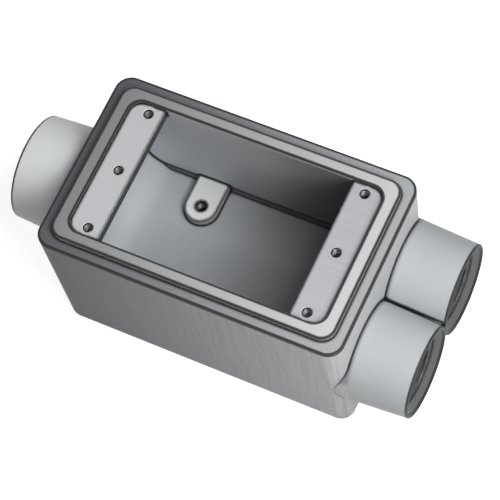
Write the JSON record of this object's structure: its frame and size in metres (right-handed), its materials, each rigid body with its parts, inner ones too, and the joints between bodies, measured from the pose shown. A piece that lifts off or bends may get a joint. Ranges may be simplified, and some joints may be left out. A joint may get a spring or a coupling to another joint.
{
  "type": "device box",
  "caption": "Cast deep device box with a raised gasket band, tapped device ledges, a grounding lug and threaded conduit hubs on both ends.",
  "frame": {"origin": "centre of the flat back face", "axes": "+X along the box to the end with the pair of hubs, +Y across it to the wall with the grounding lug, +Z out of the open face"},
  "size_m": [0.1603, 0.0714, 0.0667],
  "materials": {
    "lacquered_iron": "malleable iron with a fine sand-cast grain under a pale grey aluminium lacquer"
  },
  "bodies": {
    "root": {"box_casting": "lacquered_iron"}
  },
  "joints": []
}
